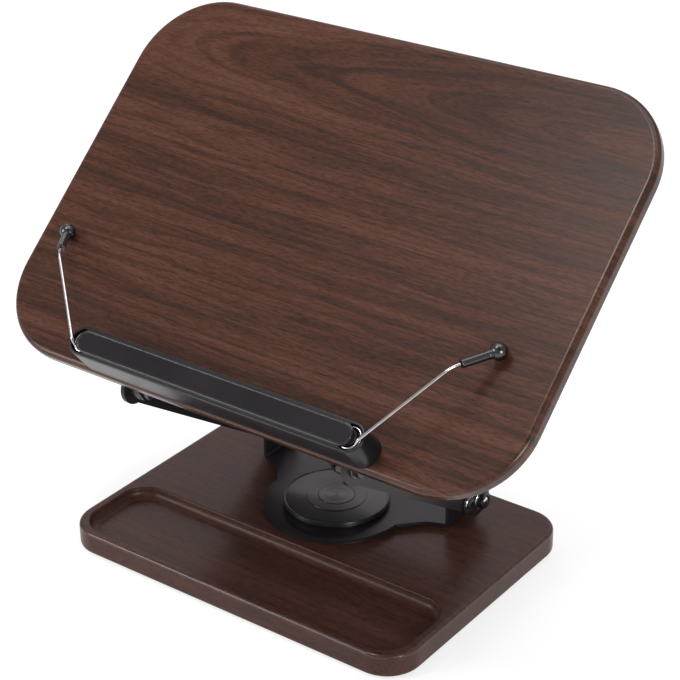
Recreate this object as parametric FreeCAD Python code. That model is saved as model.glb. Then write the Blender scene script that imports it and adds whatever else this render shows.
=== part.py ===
import FreeCAD, Part
import math
import os
from FreeCAD import Placement, Rotation, Vector

# Desk book and document stand: a wooden base with a moulded pen tray, a turntable, a
# channel-shaped arm on two friction hinges, and a wooden board with a page ledge and two
# wire page clips.  Millimetres and degrees.  X runs along the board, +Y to the back, +Z up.

# Wooden base and its pen tray
BASE_LENGTH = 233.0
BASE_DEPTH = 169.0
BASE_THICKNESS = 13.5
BASE_CORNER_R = 20.5
BASE_TOP_ROUND = 2.0
BASE_BOTTOM_ROUND = 1.5
TRAY_LENGTH = 221.0
TRAY_WIDTH = 54.3
TRAY_FRONT_MARGIN = 5.2
TRAY_DEPTH = 6.0
TRAY_CORNER_R = 16.0
TRAY_FLOOR_ROUND = 4.5
TRAY_LIP_ROUND = 1.2
FOOT_R = 9.0
FOOT_HEIGHT = 1.5
FOOT_INSET = 19.0

# Turntable: a fixed disc, a nylon washer, the turning bracket and the bolt through them
SWIVEL_BACK_OFFSET = 20.7
FIXED_DISC_R = 39.0
FIXED_DISC_T = 1.5
FIXED_SCREW_COUNT = 4
FIXED_SCREW_CIRCLE_R = 32.0
FIXED_SCREW_LENGTH = 9.0
FIXED_SCREW_SHANK_R = 1.6
FIXED_SCREW_HEAD_R = 3.2
FIXED_SCREW_FIRST_ANGLE = 45.0
NYLON_R = 26.0
NYLON_T = 0.4
SWIVEL_BOLT_R = 4.0
SWIVEL_BOLT_HEAD_R = 8.0
SWIVEL_BOLT_HEAD_T = 3.6
SWIVEL_BOLT_RECESS = 1.4
THRUST_WASHER_R = 7.6
THRUST_WASHER_T = 0.5
SWIVEL_NUT_R = 7.4
SWIVEL_NUT_T = 2.4
COVER_R = 30.8
COVER_T = 4.1
COVER_FOOT_R = 29.4
COVER_FOOT_T = 0.9
COVER_LIP_W = 1.4
COVER_PLATEAU_R = 17.4
COVER_GROOVE_W = 0.7
COVER_GROOVE_T = 0.3
COVER_CONE_DROP = 0.7
CAP_R = 10.5
CAP_T = 1.2
CAP_SEAT_T = 1.0
CAP_SEAT_W = 1.8

# Turning bracket, pressed from sheet, with two upright ears
BRACKET_T = 2.0
EAR_FOLD_INNER_R = 0.5
EAR_FOLD_OUTER_R = 1.9
LOBE_R = 42.5
BRACKET_WIDTH = 133.4
WING_FRONT_FROM_PIVOT = 17.0
WING_BACK_FROM_PIVOT = 13.0
WING_SHOULDER_X = 54.7
WING_SHOULDER_DROP = 4.6
WING_SHOULDER_R = 14.0
NECK_X = 40.0
NECK_DROP = 20.0
LOWER_PIVOT_FROM_SWIVEL = 33.3
LOWER_PIVOT_RISE = 12.0
LOWER_EAR_R = 11.0

# Arm: one folded channel, web above, flanges outside the brackets' ears
ARM_LENGTH = 139.3
ARM_ANGLE = 33.65
ARM_T = 2.5
ARM_UPPER_END_R = 10.6
ARM_LOWER_END_R = 10.6
ARM_ABOVE = 9.0
ARM_BELOW_UPPER = 8.8
ARM_BELOW_LOWER = 10.0
ARM_WEB_FROM_PIVOT = 20.0
ARM_FOLD_R = 2.0

# Hinge hardware, the same at all four pivots
BUSH_R = 6.5
BUSH_LENGTH = 6.8
HINGE_BOLT_R = 3.0
HINGE_HEAD_R = 5.0
HINGE_HEAD_T = 3.0
HINGE_WASHER_R = 6.0
HINGE_WASHER_T = 0.8
HINGE_NUT_R = 5.2
HINGE_NUT_T = 3.2
FRICTION_PLATE_T = 1.0
FRICTION_PLATE_R = 9.0
FRICTION_PLATE_TIP_R = 6.0
LOCK_SCREW_ALONG = 10.5
LOCK_SCREW_BELOW = 4.0
LOCK_SCREW_R = 1.5
LOCK_HEAD_R = 3.4
LOCK_HEAD_T = 1.6

# Board and the bracket behind it
BOARD_LENGTH = 340.0
BOARD_HEIGHT = 234.5
BOARD_T = 9.0
BOARD_CORNER_R = 47.7
BOARD_ANGLE = 41.8
BOARD_FRONT_ROUND = 3.0
BOARD_BACK_ROUND = 2.0
UPPER_PIVOT_UP = 5.8
UPPER_PIVOT_BEHIND = 12.6
UPPER_EAR_R = 8.0
UPPER_EAR_FOOT = 22.0
MOUNT_PLATE_BOTTOM = 2.0
MOUNT_PLATE_TOP = 62.0
MOUNT_PLATE_CORNER_R = 10.0
MOUNT_SCREW_X = 50.0
MOUNT_SCREW_ROWS = (32.0, 52.0)
MOUNT_SCREW_R = 1.75
MOUNT_SCREW_HEAD_R = 3.4
MOUNT_SCREW_HEAD_T = 1.8
MOUNT_SCREW_DEPTH = 6.5

# Page ledge, its pad and the two page clips
LEDGE_HEIGHT = 19.0
LEDGE_MIDDLE = 10.3
LEDGE_FOOT_LENGTH = 196.0
LEDGE_FOOT_WIDTH = 18.6
LEDGE_END_DRAFT = 0.8
LEDGE_SIDE_DRAFT = 0.9
LEDGE_TOP_ROUND = 0.5
PAD_END_INSET = 6.2
PAD_HALF_WIDTH = 6.4
PAD_T = 2.2
PAD_BEAD_W = 1.3
PAD_BEAD_T = 0.4
PAD_ROUND = 0.5
CLIP_PIVOT_INSET = 8.7
CLIP_POST_R = 4.4
CLIP_WIRE_R = 0.8
CLIP_POCKET_DEPTH = 3.8
CLIP_POCKET_REACH = 0.5
CLIP_POCKET_GAP = 0.6
CLIP_LOOP_R = 5.6
CLIP_LOOP_ANGLE = 330.0
CLIP_RAMP = 3.3
CLIP_RAMP_LEAD = 0.1
CLIP_RUN = 60.8
CLIP_DROP_RUN = 22.5
CLIP_RAMP_BEND_R = 1.2
CLIP_KNEE_BEND_R = 16.0
CLIP_RIGHT_HEADING = 30.6
CLIP_LEFT_HEADING = 41.0
BALL_R = 4.75
BALL_BORE_DEPTH = 3.0
SLEEVE_R = 2.4
SLEEVE_TIP_R = 2.5
SLEEVE_BORE_GAP = 0.05
SLEEVE_LENGTH = 17.0
LEDGE_SCREW_X = 60.0
LEDGE_SCREW_R = 1.75
LEDGE_SCREW_HEAD_R = 3.4
LEDGE_SCREW_BITE = 8.0

# Clearances
RUNNING_GAP = 0.3
SHANK_GAP = 0.2
SEAT_GAP = 0.1

# Levels and pivots that follow from the sizes above
BASE_TOP = FOOT_HEIGHT + BASE_THICKNESS
BRACKET_BOTTOM = BASE_TOP + FIXED_DISC_T + NYLON_T
BRACKET_TOP = BRACKET_BOTTOM + BRACKET_T
EAR_OUTER = BRACKET_WIDTH / 2
EAR_INNER = EAR_OUTER - BRACKET_T
ARM_INNER = EAR_OUTER + BUSH_LENGTH
ARM_OUTER = ARM_INNER + ARM_T
LOWER_PIVOT = Vector(0, SWIVEL_BACK_OFFSET + LOWER_PIVOT_FROM_SWIVEL, BRACKET_TOP + LOWER_PIVOT_RISE)
arm_turn = math.radians(ARM_ANGLE)
UPPER_PIVOT = LOWER_PIVOT + Vector(0, -math.cos(arm_turn), math.sin(arm_turn)) * ARM_LENGTH
ARM_FRAME = Placement(UPPER_PIVOT, Rotation(Vector(1, 0, 0), -ARM_ANGLE))
board_turn = Rotation(Vector(1, 0, 0), BOARD_ANGLE)
pivot_on_board = Vector(0, UPPER_PIVOT_UP, -BOARD_T - UPPER_PIVOT_BEHIND)
BOARD_FRAME = Placement(UPPER_PIVOT - board_turn.multVec(pivot_on_board), board_turn)
LEDGE_TOP_LENGTH = LEDGE_FOOT_LENGTH - 2 * LEDGE_END_DRAFT
LEDGE_TOP_WIDTH = LEDGE_FOOT_WIDTH - 2 * LEDGE_SIDE_DRAFT
CLIP_PIVOT_X = LEDGE_TOP_LENGTH / 2 - CLIP_PIVOT_INSET
COIL_LEVEL = LEDGE_HEIGHT - RUNNING_GAP - CLIP_WIRE_R
RUN_LEVEL = LEDGE_HEIGHT + CLIP_WIRE_R + RUNNING_GAP + SEAT_GAP
BALL_LEVEL = BALL_R + RUNNING_GAP

# Margins of the modelling itself: how far a cutter overshoots, how near an edge counts as level,
# and the shortest line that is drawn
EPS = 1.0
NEAR = 0.01
SHORTEST = 1e-6


def outline(corners):
    """A closed flat wire round (x, y, radius) corners, each rounded by a tangent arc."""
    marks = []
    for i, (x, y, radius) in enumerate(corners):
        here = Vector(x, y, 0)
        back = Vector(*corners[i - 1][:2], 0) - here
        ahead = Vector(*corners[(i + 1) % len(corners)][:2], 0) - here
        back.normalize()
        ahead.normalize()
        half = back.getAngle(ahead) / 2
        if radius == 0:
            marks.append((here, here, here))
            continue
        reach = radius / math.tan(half)
        inward = (back + ahead).normalize()
        middle = here + inward * (radius / math.sin(half) - radius)
        marks.append((here + back * reach, middle, here + ahead * reach))
    edges = []
    for i, (start, middle, end) in enumerate(marks):
        if start != end:
            edges.append(Part.Arc(start, middle, end).toShape())
        following = marks[(i + 1) % len(marks)][0]
        if (following - end).Length > SHORTEST:
            edges.append(Part.LineSegment(end, following).toShape())
    return Part.Wire(edges)


def rounded_box(length, width, radius, centre_x=0.0, centre_y=0.0):
    """The wire of a rectangle with rounded corners."""
    x, y = length / 2, width / 2
    corners = [(x, -y), (x, y), (-x, y), (-x, -y)]
    return outline([(centre_x + a, centre_y + b, radius) for a, b in corners])


def prism(wire, bottom, top):
    """The wire's area from one level to another."""
    face = Part.Face(wire)
    face.translate(Vector(0, 0, bottom))
    return face.extrude(Vector(0, 0, top - bottom))


def side_prism(wire, x0, x1):
    """A profile drawn as (y, z), carried along X."""
    solid = prism(wire, x0, x1)
    solid.Placement = Placement(Vector(), Rotation(Vector(0, 1, 0), Vector(0, 0, 1), Vector(1, 0, 0)))
    return solid


def rod(radius, bottom, top, x=0.0, y=0.0):
    """An upright cylinder."""
    return Part.makeCylinder(radius, top - bottom, Vector(x, y, bottom))


def axle(radius, x0, x1, y, z):
    """A cylinder along X."""
    return Part.makeCylinder(radius, x1 - x0, Vector(x0, y, z), Vector(1, 0, 0))


def hexagon(across_corners_r, height, at, axis):
    """A hexagonal nut blank that starts at a point and runs along an axis."""
    points = [
        Vector(across_corners_r * math.cos(k * math.pi / 3), across_corners_r * math.sin(k * math.pi / 3), 0)
        for k in range(7)
    ]
    solid = Part.Face(Part.makePolygon(points)).extrude(Vector(0, 0, height))
    solid.Placement = Placement(at, Rotation(Vector(0, 0, 1), axis))
    return solid


def edges_where(shape, test):
    return [edge for edge in shape.Edges if test(edge.BoundBox)]


def pair(solid):
    """The solid and its mirror image across the middle of the stand."""
    return Part.makeCompound([solid, solid.mirror(Vector(), Vector(1, 0, 0))])


def flat_screw(shank_r, head_r, sheet_t, length, top):
    """A countersunk screw whose head fills a sheet, pointing down, with its top at a level."""
    head = Part.makeCone(shank_r, head_r, sheet_t, Vector(0, 0, top - sheet_t))
    return head.fuse(rod(shank_r, top - length, top - sheet_t)).removeSplitter()


def fixed_screw_places():
    """Where the screws of the fixed disc stand, seen from above."""
    for k in range(FIXED_SCREW_COUNT):
        angle = math.radians(FIXED_SCREW_FIRST_ANGLE + 360 * k / FIXED_SCREW_COUNT)
        yield Vector(
            FIXED_SCREW_CIRCLE_R * math.cos(angle),
            SWIVEL_BACK_OFFSET + FIXED_SCREW_CIRCLE_R * math.sin(angle),
            0,
        )


def foot_places():
    x, y = BASE_LENGTH / 2 - FOOT_INSET, BASE_DEPTH / 2 - FOOT_INSET
    return [Vector(a, b, 0) for a in (-x, x) for b in (-y, y)]


# ---------------------------------------------------------------- base


def make_base_board():
    slab = prism(rounded_box(BASE_LENGTH, BASE_DEPTH, BASE_CORNER_R), FOOT_HEIGHT, BASE_TOP)
    slab = slab.makeFillet(BASE_TOP_ROUND, edges_where(slab, lambda b: b.ZMin > BASE_TOP - NEAR))
    slab = slab.makeFillet(BASE_BOTTOM_ROUND, edges_where(slab, lambda b: b.ZMax < FOOT_HEIGHT + NEAR))
    tray_y = -BASE_DEPTH / 2 + TRAY_FRONT_MARGIN + TRAY_WIDTH / 2
    floor = BASE_TOP - TRAY_DEPTH
    tool = prism(rounded_box(TRAY_LENGTH, TRAY_WIDTH, TRAY_CORNER_R, 0, tray_y), floor, BASE_TOP + EPS)
    tool = tool.makeFillet(TRAY_FLOOR_ROUND, edges_where(tool, lambda b: b.ZMax < floor + NEAR))
    slab = slab.cut(tool)

    def on_lip(box):
        across = abs(box.Center.y - tray_y) + box.YLength / 2 < TRAY_WIDTH / 2 + NEAR
        along = abs(box.Center.x) + box.XLength / 2 < TRAY_LENGTH / 2 + NEAR
        return box.ZMin > BASE_TOP - NEAR and across and along

    slab = slab.makeFillet(TRAY_LIP_ROUND, edges_where(slab, on_lip))
    counterbore = SWIVEL_BOLT_RECESS + SWIVEL_BOLT_HEAD_T
    slab = slab.cut(rod(SWIVEL_BOLT_R + SHANK_GAP, 0, BASE_TOP + EPS, 0, SWIVEL_BACK_OFFSET))
    head_room = SWIVEL_BOLT_HEAD_R + RUNNING_GAP
    slab = slab.cut(rod(head_room, 0, FOOT_HEIGHT + counterbore, 0, SWIVEL_BACK_OFFSET))
    for place in fixed_screw_places():
        depth = FIXED_SCREW_LENGTH - FIXED_DISC_T
        slab = slab.cut(rod(FIXED_SCREW_SHANK_R, BASE_TOP - depth, BASE_TOP + EPS, place.x, place.y))
    return slab


def make_foot_pads():
    pads = []
    for place in foot_places():
        pad = rod(FOOT_R, 0, FOOT_HEIGHT, place.x, place.y)
        pads.append(pad)
    return Part.makeCompound(pads)


# ---------------------------------------------------------------- turntable


def at_swivel(solid):
    solid.translate(Vector(0, SWIVEL_BACK_OFFSET, 0))
    return solid


def make_fixed_disc():
    top = BASE_TOP + FIXED_DISC_T
    disc = at_swivel(rod(FIXED_DISC_R, BASE_TOP, top))
    disc = disc.cut(at_swivel(rod(SWIVEL_BOLT_R + SHANK_GAP, BASE_TOP - EPS, top + EPS)))
    for screw in fixed_screws():
        disc = disc.cut(screw)
    return disc


def fixed_screws():
    screws = []
    for place in fixed_screw_places():
        screw = flat_screw(
            FIXED_SCREW_SHANK_R, FIXED_SCREW_HEAD_R, FIXED_DISC_T, FIXED_SCREW_LENGTH, BASE_TOP + FIXED_DISC_T
        )
        screw.translate(place)
        screws.append(screw)
    return screws


def make_nylon_washer():
    ring = rod(NYLON_R, BRACKET_BOTTOM - NYLON_T, BRACKET_BOTTOM)
    return at_swivel(ring.cut(rod(SWIVEL_BOLT_R + SHANK_GAP, 0, BRACKET_BOTTOM + EPS)))


def make_swivel_bolt():
    head_top = FOOT_HEIGHT + SWIVEL_BOLT_RECESS + SWIVEL_BOLT_HEAD_T
    head = rod(SWIVEL_BOLT_HEAD_R, head_top - SWIVEL_BOLT_HEAD_T, head_top)
    shank = rod(SWIVEL_BOLT_R, head_top, BRACKET_TOP + THRUST_WASHER_T + SWIVEL_NUT_T)
    return at_swivel(head.fuse(shank).removeSplitter())


def make_thrust_washer():
    ring = rod(THRUST_WASHER_R, BRACKET_TOP, BRACKET_TOP + THRUST_WASHER_T)
    return at_swivel(ring.cut(rod(SWIVEL_BOLT_R + SEAT_GAP, 0, BRACKET_TOP + THRUST_WASHER_T + EPS)))


def make_swivel_nut():
    nut = hexagon(SWIVEL_NUT_R, SWIVEL_NUT_T, Vector(0, 0, BRACKET_TOP + THRUST_WASHER_T), Vector(0, 0, 1))
    return at_swivel(nut.cut(rod(SWIVEL_BOLT_R, 0, BRACKET_TOP + THRUST_WASHER_T + SWIVEL_NUT_T + EPS)))


def make_swivel_bracket():
    pivot_y = LOWER_PIVOT.y
    front, back = pivot_y - WING_FRONT_FROM_PIVOT, pivot_y + WING_BACK_FROM_PIVOT
    half = [
        (NECK_X, front - NECK_DROP, 0),
        (WING_SHOULDER_X, front - WING_SHOULDER_DROP, WING_SHOULDER_R),
        (EAR_OUTER, front, 0),
        (EAR_OUTER, back, 0),
    ]
    wings = outline(half + [(-x, y, r) for x, y, r in reversed(half)])
    plate = prism(wings, BRACKET_BOTTOM, BRACKET_TOP)
    plate = plate.fuse(rod(LOBE_R, BRACKET_BOTTOM, BRACKET_TOP, 0, SWIVEL_BACK_OFFSET))
    tip = LOWER_PIVOT.z + LOWER_EAR_R
    ear = outline([(front, BRACKET_BOTTOM, 0), (back, BRACKET_BOTTOM, 0), (back, tip, LOWER_EAR_R),
                   (front, tip, LOWER_EAR_R)])
    ear = side_prism(ear, EAR_INNER, EAR_OUTER)
    ear = ear.cut(axle(HINGE_BOLT_R + SHANK_GAP, EAR_INNER - EPS, EAR_OUTER + EPS, pivot_y, LOWER_PIVOT.z))
    plate = plate.fuse(pair(ear).Solids).removeSplitter()

    def on_fold(x, level):
        return edges_where(plate, lambda b: abs(abs(b.Center.x) - x) + b.XLength + b.ZLength < NEAR
                           and abs(b.Center.z - level) < NEAR and b.YLength > back - front - NEAR)

    plate = plate.makeFillet(EAR_FOLD_OUTER_R, on_fold(EAR_OUTER, BRACKET_BOTTOM))
    plate = plate.makeFillet(EAR_FOLD_INNER_R, on_fold(EAR_INNER, BRACKET_TOP))
    bore = rod(SWIVEL_BOLT_R + SHANK_GAP, BRACKET_BOTTOM - EPS, BRACKET_TOP + EPS, 0, SWIVEL_BACK_OFFSET)
    return plate.cut(bore)


def make_swivel_cover():
    rim = COVER_T - COVER_CONE_DROP
    bore = CAP_R - CAP_SEAT_W
    groove = COVER_PLATEAU_R + COVER_GROOVE_W
    profile = [
        (bore, 0), (COVER_FOOT_R, 0), (COVER_FOOT_R, COVER_FOOT_T), (COVER_R, COVER_FOOT_T),
        (COVER_R, rim), (COVER_R - COVER_GROOVE_W, COVER_T - COVER_GROOVE_T),
        (COVER_R - COVER_LIP_W, rim), (groove, COVER_T - COVER_GROOVE_T),
        (COVER_PLATEAU_R, COVER_T - COVER_GROOVE_T), (COVER_PLATEAU_R, COVER_T),
        (CAP_R + SEAT_GAP, COVER_T), (CAP_R + SEAT_GAP, COVER_T - CAP_SEAT_T), (bore, COVER_T - CAP_SEAT_T),
    ]
    points = [Vector(r, 0, BRACKET_TOP + z) for r, z in profile]
    face = Part.Face(Part.makePolygon(points + points[:1]))
    return at_swivel(face.revolve(Vector(), Vector(0, 0, 1), 360))


def make_cover_cap():
    seat = BRACKET_TOP + COVER_T - CAP_SEAT_T
    return at_swivel(rod(CAP_R, seat, seat + CAP_T))


# ---------------------------------------------------------------- arm


def arm_flange():
    """The side of the arm in its own frame: upper pivot at 0, lower pivot along +Y."""
    bar = outline([(0, -ARM_BELOW_UPPER, 0), (ARM_LENGTH, -ARM_BELOW_LOWER, 0), (ARM_LENGTH, ARM_ABOVE, 0),
                   (0, ARM_ABOVE, 0)])
    side = side_prism(bar, ARM_INNER, ARM_OUTER)
    side = side.fuse(axle(ARM_UPPER_END_R, ARM_INNER, ARM_OUTER, 0, 0))
    side = side.fuse(axle(ARM_LOWER_END_R, ARM_INNER, ARM_OUTER, ARM_LENGTH, 0))
    for y in (0, ARM_LENGTH):
        side = side.cut(axle(HINGE_BOLT_R + SEAT_GAP, ARM_INNER - EPS, ARM_OUTER + EPS, y, 0))
    lock = axle(LOCK_SCREW_R, ARM_INNER - EPS, ARM_OUTER + EPS, *lock_screw_place())
    return side.cut(lock)


def lock_screw_place():
    return ARM_LENGTH - LOCK_SCREW_ALONG, -LOCK_SCREW_BELOW


def make_support_arm():
    web_length = ARM_LENGTH - 2 * ARM_WEB_FROM_PIVOT
    corner = Vector(-ARM_OUTER, ARM_WEB_FROM_PIVOT, ARM_ABOVE - ARM_T)
    web = Part.makeBox(2 * ARM_OUTER, web_length, ARM_T, corner)
    arm = web.fuse(pair(arm_flange()).Solids).removeSplitter()

    def on_fold(box):
        along = box.YMax - box.YMin > web_length - EPS
        return along and box.ZMin > ARM_ABOVE - NEAR and abs(box.Center.x) > ARM_OUTER - NEAR

    arm = arm.makeFillet(ARM_FOLD_R, edges_where(arm, on_fold))
    arm.Placement = ARM_FRAME
    return arm


def at_pivot(part_of_pair, pivot):
    part_of_pair.translate(pivot)
    return pair(part_of_pair)


def make_hinge_bolt(pivot, stack):
    """Head inside the ear, shank out through ear, bush, flange, stack and nut."""
    head = axle(HINGE_HEAD_R, EAR_INNER - HINGE_HEAD_T, EAR_INNER, 0, 0)
    shank = axle(HINGE_BOLT_R, EAR_INNER, ARM_OUTER + stack + HINGE_WASHER_T + HINGE_NUT_T, 0, 0)
    return at_pivot(head.fuse(shank).removeSplitter(), pivot)


def make_hinge_bush(pivot):
    bush = axle(BUSH_R, EAR_OUTER, ARM_INNER, 0, 0)
    return at_pivot(bush.cut(axle(HINGE_BOLT_R + SEAT_GAP, EAR_OUTER - EPS, ARM_INNER + EPS, 0, 0)), pivot)


def make_hinge_washer(pivot, stack):
    face = ARM_OUTER + stack
    ring = axle(HINGE_WASHER_R, face, face + HINGE_WASHER_T, 0, 0)
    hole = axle(HINGE_BOLT_R + SEAT_GAP, face - EPS, face + HINGE_WASHER_T + EPS, 0, 0)
    return at_pivot(ring.cut(hole), pivot)


def make_hinge_nut(pivot, stack):
    face = ARM_OUTER + stack + HINGE_WASHER_T
    nut = hexagon(HINGE_NUT_R, HINGE_NUT_T, Vector(face, 0, 0), Vector(1, 0, 0))
    return at_pivot(nut.cut(axle(HINGE_BOLT_R, face - EPS, face + HINGE_NUT_T + EPS, 0, 0)), pivot)


def make_friction_plate():
    """Keyed to the flange by the lock screw, so that the hinge nut never unwinds."""
    y, z = lock_screw_place()
    x0, x1 = ARM_OUTER, ARM_OUTER + FRICTION_PLATE_T
    plate = axle(FRICTION_PLATE_R, x0, x1, ARM_LENGTH, 0).fuse(axle(FRICTION_PLATE_TIP_R, x0, x1, y, z))
    span = math.hypot(ARM_LENGTH - y, z)
    lean = math.degrees(math.atan2(-z, ARM_LENGTH - y))
    taper = math.acos((FRICTION_PLATE_R - FRICTION_PLATE_TIP_R) / span)
    ends = []
    for sign in (1, -1):
        for reach, radius in ((0, FRICTION_PLATE_TIP_R), (span, FRICTION_PLATE_R)):
            ends.append((reach - radius * math.cos(taper), sign * radius * math.sin(taper), 0))
    bridge = side_prism(outline([ends[0], ends[1], ends[3], ends[2]]), x0, x1)
    bridge.Placement = Placement(Vector(0, y, z), Rotation(Vector(1, 0, 0), lean)).multiply(bridge.Placement)
    plate = plate.fuse(bridge).removeSplitter()
    plate = plate.cut(axle(HINGE_BOLT_R + SEAT_GAP, x0 - EPS, x1 + EPS, ARM_LENGTH, 0))
    plate = plate.cut(axle(LOCK_SCREW_R, x0 - EPS, x1 + EPS, y, z))
    plate.Placement = ARM_FRAME
    return pair(plate)


def make_lock_screw():
    y, z = lock_screw_place()
    face = ARM_OUTER + FRICTION_PLATE_T
    head = axle(LOCK_HEAD_R, face, face + LOCK_HEAD_T, y, z)
    screw = head.fuse(axle(LOCK_SCREW_R, ARM_INNER, face, y, z)).removeSplitter()
    screw.Placement = ARM_FRAME
    return pair(screw)


# ---------------------------------------------------------------- board


def on_board(solid):
    """Carries a solid drawn on the board (x along, y up it, z out of its face) to its place."""
    solid.Placement = BOARD_FRAME.multiply(solid.Placement)
    return solid


def mount_screw_places():
    return [Vector(x, y, 0) for x in (-MOUNT_SCREW_X, MOUNT_SCREW_X) for y in MOUNT_SCREW_ROWS]


def ledge_screw_places():
    return [Vector(x, LEDGE_MIDDLE, 0) for x in (-LEDGE_SCREW_X, 0, LEDGE_SCREW_X)]


def make_board_panel():
    wire = rounded_box(BOARD_LENGTH, BOARD_HEIGHT, BOARD_CORNER_R, 0, BOARD_HEIGHT / 2)
    panel = prism(wire, -BOARD_T, 0)
    panel = panel.makeFillet(BOARD_FRONT_ROUND, edges_where(panel, lambda b: b.ZMin > -NEAR))
    panel = panel.makeFillet(BOARD_BACK_ROUND, edges_where(panel, lambda b: b.ZMax < -BOARD_T + NEAR))
    for place in mount_screw_places():
        panel = panel.cut(rod(MOUNT_SCREW_R, -BOARD_T - EPS, -BOARD_T + MOUNT_SCREW_DEPTH, place.x, place.y))
    for screw in ledge_screws():
        panel = panel.cut(screw)
    return on_board(panel)


def make_board_bracket():
    corner = MOUNT_PLATE_CORNER_R
    plate = outline([(EAR_OUTER, MOUNT_PLATE_BOTTOM, 0), (EAR_OUTER, MOUNT_PLATE_TOP, corner),
                     (-EAR_OUTER, MOUNT_PLATE_TOP, corner), (-EAR_OUTER, MOUNT_PLATE_BOTTOM, 0)])
    back = -BOARD_T - BRACKET_T
    bracket = prism(plate, back, -BOARD_T)
    tip = -BOARD_T - UPPER_PIVOT_BEHIND - UPPER_EAR_R
    ear = outline([
        (MOUNT_PLATE_BOTTOM, -BOARD_T, 0),
        (UPPER_PIVOT_UP - UPPER_EAR_R, tip, UPPER_EAR_R),
        (UPPER_PIVOT_UP + UPPER_EAR_R, tip, UPPER_EAR_R),
        (UPPER_EAR_FOOT, -BOARD_T, 0),
    ])
    ear = side_prism(ear, EAR_INNER, EAR_OUTER)
    hole = axle(HINGE_BOLT_R + SHANK_GAP, EAR_INNER - EPS, EAR_OUTER + EPS, UPPER_PIVOT_UP,
                -BOARD_T - UPPER_PIVOT_BEHIND)
    bracket = bracket.fuse(pair(ear.cut(hole)).Solids).removeSplitter()
    for place in mount_screw_places():
        bracket = bracket.cut(rod(MOUNT_SCREW_R + SEAT_GAP, back - EPS, -BOARD_T + EPS, place.x, place.y))
    return on_board(bracket)


def make_mount_screws():
    screws = []
    seat = -BOARD_T - BRACKET_T
    for place in mount_screw_places():
        head = rod(MOUNT_SCREW_HEAD_R, seat - MOUNT_SCREW_HEAD_T, seat)
        screw = head.fuse(rod(MOUNT_SCREW_R, seat, -BOARD_T + MOUNT_SCREW_DEPTH)).removeSplitter()
        screw.translate(place)
        screws.append(screw)
    return on_board(Part.makeCompound(screws))


# ---------------------------------------------------------------- ledge and clips


def make_page_ledge():
    foot_r = LEDGE_FOOT_WIDTH / 2 - SEAT_GAP
    top_r = LEDGE_TOP_WIDTH / 2 - SEAT_GAP
    foot = rounded_box(LEDGE_FOOT_LENGTH, LEDGE_FOOT_WIDTH, foot_r, 0, LEDGE_MIDDLE)
    top = rounded_box(LEDGE_TOP_LENGTH, LEDGE_TOP_WIDTH, top_r, 0, LEDGE_MIDDLE)
    top.translate(Vector(0, 0, LEDGE_HEIGHT))
    ledge = Part.makeLoft([foot, top], True, True)
    rim = edges_where(ledge, lambda b: b.ZMin > LEDGE_HEIGHT - NEAR)
    ledge = ledge.makeFillet(LEDGE_TOP_ROUND, rim)
    floor = LEDGE_HEIGHT - CLIP_POCKET_DEPTH
    pocket_r = CLIP_LOOP_R + CLIP_WIRE_R + CLIP_POCKET_GAP
    length = CLIP_POCKET_REACH + 2 * pocket_r
    middle = CLIP_PIVOT_X + CLIP_POCKET_REACH / 2
    pocket = prism(rounded_box(length, 2 * pocket_r, pocket_r - SEAT_GAP, middle, LEDGE_MIDDLE), floor,
                   LEDGE_HEIGHT + EPS)
    pocket = pocket.cut(rod(CLIP_POST_R, floor, LEDGE_HEIGHT + EPS, CLIP_PIVOT_X, LEDGE_MIDDLE))
    ledge = ledge.cut(pair(pocket).Solids)
    for screw in ledge_screws():
        ledge = ledge.cut(screw)
    return on_board(ledge)


def make_ledge_pad():
    length = LEDGE_TOP_LENGTH - 2 * PAD_END_INSET
    top = LEDGE_HEIGHT + PAD_T
    radius = PAD_HALF_WIDTH - SEAT_GAP
    pad = prism(rounded_box(length, 2 * PAD_HALF_WIDTH, radius, 0, LEDGE_MIDDLE), LEDGE_HEIGHT, top)
    pad = pad.makeFillet(PAD_ROUND, edges_where(pad, lambda b: b.ZMin > top - NEAR))
    inset = 2 * PAD_BEAD_W
    field = rounded_box(length - inset, 2 * PAD_HALF_WIDTH - inset, radius - PAD_BEAD_W, 0, LEDGE_MIDDLE)
    return on_board(pad.cut(prism(field, top - PAD_BEAD_T, top + EPS)))


def ledge_screws():
    """Countersunk from the back of the board, up into the ledge."""
    screws = []
    for place in ledge_screw_places():
        screw = flat_screw(LEDGE_SCREW_R, LEDGE_SCREW_HEAD_R, LEDGE_SCREW_HEAD_R - LEDGE_SCREW_R,
                           BOARD_T + LEDGE_SCREW_BITE, BOARD_T)
        screw.rotate(Vector(), Vector(1, 0, 0), 180)
        screw.translate(place)
        screws.append(screw)
    return screws


def bent_rod(points, radii, radius, start_arc=None):
    """A round wire through points, bent to a given radius at each inner one."""
    edges = [start_arc] if start_arc else []
    here = points[0]
    for before, corner, after, bend in zip(points, points[1:], points[2:], radii):
        back = (before - corner).normalize()
        ahead = (after - corner).normalize()
        half = back.getAngle(ahead) / 2
        reach = bend / math.tan(half)
        middle = corner + (back + ahead).normalize() * (bend / math.sin(half) - bend)
        edges.append(Part.LineSegment(here, corner + back * reach).toShape())
        edges.append(Part.Arc(corner + back * reach, middle, corner + ahead * reach).toShape())
        here = corner + ahead * reach
    edges.append(Part.LineSegment(here, points[-1]).toShape())
    path = Part.Wire(edges)
    start = edges[0].valueAt(edges[0].FirstParameter)
    tangent = edges[0].tangentAt(edges[0].FirstParameter)
    ring = Part.Wire(Part.Circle(start, tangent, radius).toShape())
    return path.makePipeShell([ring], True, False)


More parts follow.
